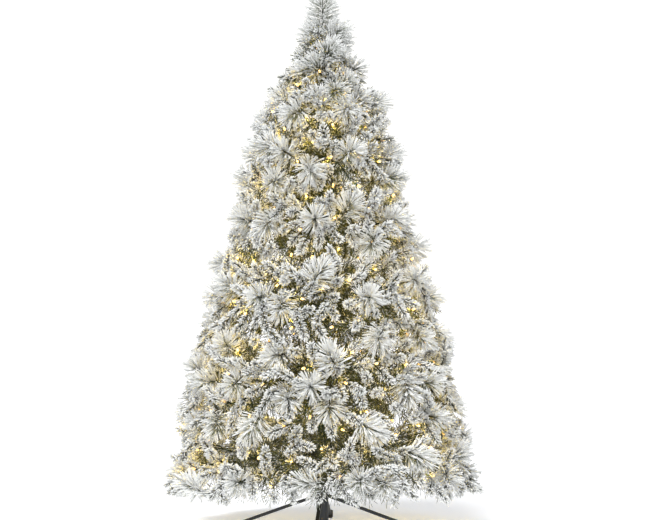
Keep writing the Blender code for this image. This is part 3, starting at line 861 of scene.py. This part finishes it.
def clothe(needles, bursts, wires, rng):
    """Needles on every wire, by what the wire ends in."""
    for index, wire in enumerate(wires):
        length = run_of(wire.path)[-1]
        longest = INNER_COVER if wire.kind == "inner" else SPRIG_COVER
        cover = min(longest, MOST_COVER * length)
        foot = length - cover
        head = length - min(SPRIG_HEAD, MOST_HEAD * cover)
        if wire.kind == "burst":
            long_needles(bursts, wire, BURST_WIRE, BURST_TUFTS, rng)
            short_needles(needles, wire, foot, length - 0.5 * BURST_WIRE, SPRIG_DENSITY, rng)
        elif wire.kind == "sprig":
            greener = wire._replace(flock=BELOW_HEAD * wire.flock)
            short_needles(needles, wire, head, length, HEAD_DENSITY, rng)
            short_needles(needles, greener, foot, head, SPRIG_DENSITY, rng)
        elif wire.kind == "bulb":
            short_needles(needles, wire, foot, length - BULB_BARE, SPRIG_DENSITY, rng)
        elif wire.kind == "inner":
            sizes = (INNER_NEEDLE, INNER_THICKNESS)
            short_needles(needles, wire, foot, length, INNER_DENSITY, rng, *sizes)
        greenest = wire._replace(flock=NEAR_FORK * wire.flock)
        start = 0.0 if index else STEM_BARE
        short_needles(needles, greenest, start, foot, STEM_DENSITY, rng)


def wire_shape(wires):
    shape = Shape()
    for wire in wires:
        radii = wire.radius * np.linspace(*WIRE_TAPER, len(wire.path))
        sides = STEM_SIDES if wire.radius > TWIG_RADIUS else TWIG_SIDES
        shape.add(*tube(wire.path, radii, sides))
    return shape


# Lights


def turned(profile, place, heading, sides=BULB_SIDES):
    """A closed form turned about a heading, from (distance, radius) pairs."""
    path = place + np.outer([distance for distance, _ in profile], heading)
    radii = [radius for _, radius in profile]
    ring = turned_round(math.tau * np.arange(sides) / sides, heading[None])
    points = (path[:, None] + ring[None] * np.array(radii)[:, None, None]).reshape(-1, 3)
    triangles, corners = [], []
    last = len(profile) - 1
    for i in range(last):
        for k in range(sides):
            n = (k + 1) % sides
            a, b, c, d = i * sides + k, i * sides + n, (i + 1) * sides + n, (i + 1) * sides + k
            low, high, left, right = i / last, (i + 1) / last, k / sides, (k + 1) / sides
            triangles += [(a, b, c), (a, c, d)]
            corners += [((low, left), (low, right), (high, right))]
            corners += [((low, left), (high, right), (high, left))]
    for k in range(1, sides - 1):
        top = last * sides
        triangles += [(0, k + 1, k), (top, top + k, top + k + 1)]
        corners += [CAP_MAP] * 2
    return points, np.array(triangles), np.array(corners)


def make_glow():
    """The lamp in every bulb, with its strength evened out close by so that no needle burns out."""
    glow = bpy.data.lights.new("bulb_glow", "POINT")
    glow.energy = BULB_POWER
    glow.color = GLOW_COLOUR
    glow.shadow_soft_size = GLOW_RADIUS
    glow.use_nodes = True
    nodes = Nodes(glow.node_tree)
    softness = {"Strength": 1.0, "Smooth": BULB_SOFTNESS}
    falloff = nodes.node("ShaderNodeLightFalloff", None, softness, output="Quadratic")
    nodes.feed(nodes.tree.nodes["Emission"].inputs["Strength"], falloff)
    return glow


def cable_along(wire):
    """The light cable wound round a wire, almost to its end."""
    spots = np.linspace(0, run_of(wire.path)[-1] - CABLE_SHORT, CABLE_POINTS)
    places, headings = along_path(wire.path, spots)
    off = turned_round(math.tau * CABLE_TURNS * spots, headings)
    lifted = places + off * (wire.radius + CABLE_LIFT * CABLE_RADIUS)
    return tube(lifted, [CABLE_RADIUS] * CABLE_POINTS, 4)


def make_lights(name, body, wires, rng):
    """A bulb at the end of each light twig, the cable that feeds them all, and their glow."""
    lit = [index for index, wire in enumerate(wires) if wire.kind == "bulb"]
    if not lit:
        return None
    shape = Shape()
    fed = set()
    for number, index in enumerate(lit):
        wire = wires[index]
        end, heading = wire.path[-1], unit(wire.path[-1] - wire.path[-2])
        aim = unit(heading + rng.normal(0, BULB_LEAN, 3))
        side, _ = across(heading[None])
        place = end - BULB_BACK * heading + side[0] * BULB_OFFSET
        shape.add(*turned(HOLDER, place, aim), look=0)
        shape.add(*turned(LENS, place, aim), look=1)
        while index >= 0 and index not in fed:
            shape.add(*cable_along(wires[index]), look=0)
            fed.add(index)
            index = wires[index].parent
        glow = bpy.data.objects.new(f"{name}_glow_{number + 1}", bulb_light)
        glow.location = place - heading * GLOW_BACK + side[0] * BULB_OFFSET
        bpy.context.scene.collection.objects.link(glow)
        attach(glow, body)
    return shape.piece(f"{name}_lights", (cable, lens))


# Assembly of a branch


def hinge_shape(shape, branch):
    """Bare wire from the hinge to the first needles, with its pin."""
    back = branch.hinge - branch.heading * WIRE_HEEL
    front = branch.hinge + branch.heading * (BARE_WIRE + BARE_OVERLAP)
    bare = np.array([back, branch.hinge, front])
    shape.add(*tube(bare, [HINGE_WIRE_RADIUS] * 3, HINGE_SIDES), look=1)
    half = branch.pin * PIN_HALF
    pin = np.array([branch.hinge - half, branch.hinge, branch.hinge + half])
    shape.add(*tube(pin, [PIN_RADIUS] * 3, HINGE_SIDES), look=1)


def mount(piece, branch):
    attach(piece, branch.body)
    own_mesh(piece)


def make_branch(branch, tips, seed):
    rng = np.random.default_rng(seed)
    start = branch.hinge + branch.heading * BARE_WIRE
    end = branch.hinge + branch.heading * (branch.length - STEM_SHORT)
    path = np.linspace(start, end, WIRE_POINTS)
    stem = Wire(path, "burst", rng.uniform(*STEM_FLOCK), STEM_RADIUS, -1)
    wires = grow(stem, tips, rng)
    needles, bursts = Shape(), Shape()
    clothe(needles, bursts, wires, rng)
    shape = wire_shape(wires)
    hinge_shape(shape, branch)
    stems = shape.piece(f"{branch.name}_wires", (wrap, hinge_steel))
    short = needles.piece(f"{branch.name}_needles", (short_look,))
    long = bursts.piece(f"{branch.name}_bursts", (long_look,))
    lights = make_lights(branch.name, branch.body, wires, rng)
    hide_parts(branch.name)
    for piece in (stems, short, long):
        mount(piece, branch)
    if lights:
        mount(lights, branch)


def make_leader(tips):
    rng = np.random.default_rng(LEADER_SEED)
    start = np.array([0, 0, plug_top - LEADER_SOCKETED])
    end = np.array([0, 0, leader_tip - LEADER_SHORT])
    # The leader's stem carries less flock, painted shade that greys the tree's top
    stem = Wire(np.linspace(start, end, WIRE_POINTS), "leader", LEADER_FLOCK_AND_SHADE, STEM_RADIUS, -1)
    wires = grow(stem, tips, rng)
    needles, bursts = Shape(), Shape()
    clothe(needles, bursts, wires, rng)
    long_needles(bursts, stem, TOP_BRUSH, LEADER_TUFTS, rng, LEADER_SWEEPS, LEADER_NEEDLE)
    stems = wire_shape(wires).piece("leader_wires", (wrap,))
    short = needles.piece("leader_needles", (short_look,))
    long = bursts.piece("leader_bursts", (long_look,))
    lights = make_lights("leader", "upper_section", wires, rng)
    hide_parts("leader")
    for piece in (stems, short, long):
        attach(piece, "upper_section")
    if lights:
        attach(lights, "upper_section")


# Fittings that keep their solids


def dress_fittings():
    """Each solid takes the finish listed for the start of its name."""
    charcoal = (rgb(0.030, 0.034, 0.040), rgb(0.060, 0.066, 0.075))
    trunk_green = (rgb(0.020, 0.045, 0.026), rgb(0.035, 0.070, 0.040))
    collar_green = (rgb(0.016, 0.038, 0.020), rgb(0.030, 0.058, 0.032))
    rubber_black = (rgb(0.014, 0.014, 0.015), rgb(0.030, 0.030, 0.032))
    trunk_coat = painted_steel_finish("green_trunk_coat", *trunk_green, 0.3, 700)
    collar_plastic = moulded_finish("collar_plastic", *collar_green, 0.5)
    coats = {
        "stand_": painted_steel_finish("charcoal_coat", *charcoal, 0.55, 900),
        "foot_": moulded_finish("foot_rubber", *rubber_black, 0.75),
        "eye_bolt": zinc_finish(),
        "lower_pole": trunk_coat,
        "middle_pole": trunk_coat,
        "upper_pole": trunk_coat,
        "collar_": collar_plastic,
        "trunk_foot_plug": collar_plastic,
        "top_plug": collar_plastic,
        "lower_light_lead": cable,
        "middle_light_lead": cable,
        "upper_light_lead": cable,
    }
    for name, node in frame["nodes"].items():
        for start, coat in coats.items():
            if name.startswith(start):
                node.data.materials.clear()
                node.data.materials.append(coat)


# Studio


def make_stage():
    mesh = bpy.data.meshes.new("floor")
    half = FLOOR_HALF
    corners = [(-half, -half, 0), (half, -half, 0), (half, half, 0), (-half, half, 0)]
    mesh.from_pydata(corners, [], [(0, 1, 2, 3)])
    floor = bpy.data.objects.new("floor", mesh)
    bpy.context.scene.collection.objects.link(floor)
    paper = Finish(
        "floor_paper", Roughness=0.9, Specular_IOR_Level=0.1, Emission_Strength=FLOOR_GLOW
    )
    paper.material.cycles.emission_sampling = "NONE"
    tone = paper.mix(paper.noise(2, 2), grey(0.71), grey(0.73))
    mesh.materials.append(paper.surface(Base_Color=tone, Emission_Color=rgb(0.93, 0.96, 1.0)))


def add_sun(sun):
    """A far, soft lamp; azimuth 0 stands in front and turns to the right, all in degrees."""
    data = bpy.data.lights.new(sun.name, "SUN")
    data.angle = math.radians(sun.softness)
    data.energy = sun.strength
    data.color = SUN_COLOUR
    lamp = bpy.data.objects.new(sun.name, data)
    lamp.rotation_euler = (math.radians(90 - sun.elevation), 0, math.radians(sun.azimuth))
    bpy.context.scene.collection.objects.link(lamp)


def make_lighting():
    """Three soft lamps and a dim sky, which shows as a white backdrop."""
    world = bpy.data.worlds.new("studio")
    world.use_nodes = True
    sky = Nodes(world.node_tree)
    background = sky.tree.nodes["Background"]
    seen = sky.node("ShaderNodeLightPath", output="Is Camera Ray")
    levels = {"Value": seen, "To Min": AMBIENT, "To Max": BACKDROP}
    sky.feed(background.inputs["Color"], rgb(1.0, 0.99, 0.96))
    sky.feed(background.inputs["Strength"], sky.node("ShaderNodeMapRange", None, levels))
    bpy.context.scene.world = world
    for sun in SUNS:
        add_sun(sun)
    bpy.context.scene.view_settings.view_transform = "Standard"


def make_camera():
    """A level camera a little to the right of the front."""
    data = bpy.data.cameras.new("camera")
    data.lens = data.sensor_width * CAMERA_DISTANCE / VIEW_WIDTH
    data.shift_x, data.shift_y = VIEW_SHIFT
    camera = bpy.data.objects.new("camera", data)
    side, back = math.sin(CAMERA_TURN), -math.cos(CAMERA_TURN)
    camera.location = (CAMERA_DISTANCE * side, CAMERA_DISTANCE * back, CAMERA_HEIGHT)
    camera.rotation_mode = "XYZ"
    camera.rotation_euler = (math.pi / 2, 0, CAMERA_TURN)
    bpy.context.scene.collection.objects.link(camera)
    bpy.context.scene.camera = camera


make_camera()
make_stage()
make_lighting()

short_greens = (rgb(0.023, 0.031, 0.006), rgb(0.080, 0.100, 0.026))
long_greens = (rgb(0.11, 0.13, 0.06), rgb(0.22, 0.25, 0.13))
short_look = needle_finish("flocked_short_needles", *short_greens, 1.04)
long_look = needle_finish("flocked_long_needles", *long_greens, 0.92)
wrap = wrap_finish()
hinge_steel = hinge_wire_finish()
cable = cable_finish()
lens = bulb_finish()
bulb_light = make_glow()

owned = tips_by_owner()
for number, branch in enumerate(branches):
    make_branch(branch, owned[branch.name], BRANCH_SEED + number)
make_leader(owned[None])
dress_fittings()
